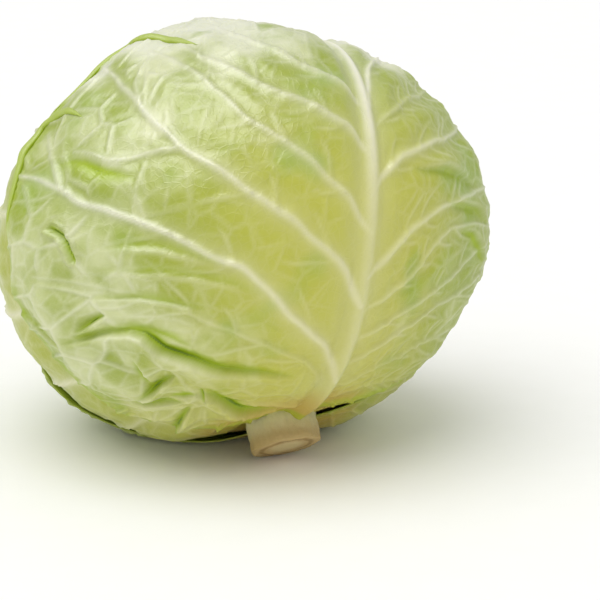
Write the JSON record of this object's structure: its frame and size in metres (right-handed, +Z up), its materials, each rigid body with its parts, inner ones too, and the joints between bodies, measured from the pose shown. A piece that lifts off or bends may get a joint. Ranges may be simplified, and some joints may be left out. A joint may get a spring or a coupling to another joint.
{
  "type": "cabbage head",
  "caption": "Round, slightly flattened head of white cabbage with a cut stalk, lying on its side of the base, wrapped in broad overlapping leaves with raised midribs and branching veins.",
  "frame": {"origin": "on the table, under the middle of the head's bounding box", "axes": "+Z up from the table, +X to the right of the picture's view, -Y towards its viewer; the cut stalk points down, forwards and a little to the right"},
  "size_m": [0.194, 0.1855, 0.1668],
  "materials": {
    "leaf": "waxy pale green leaf, glossier on the sheen, whiter along its veins",
    "heart": "pale yellow-green leaf, softly glossy",
    "stalk": "cream to tan stalk flesh, dry and matt on the cut"
  },
  "bodies": {
    "root": {"stalk": "stalk", "heart": "heart", "wrapper_leaf_1": "leaf", "wrapper_leaf_2": "leaf", "wrapper_leaf_3": "leaf", "wrapper_leaf_4": "leaf", "wrapper_leaf_5": "leaf"}
  },
  "joints": []
}
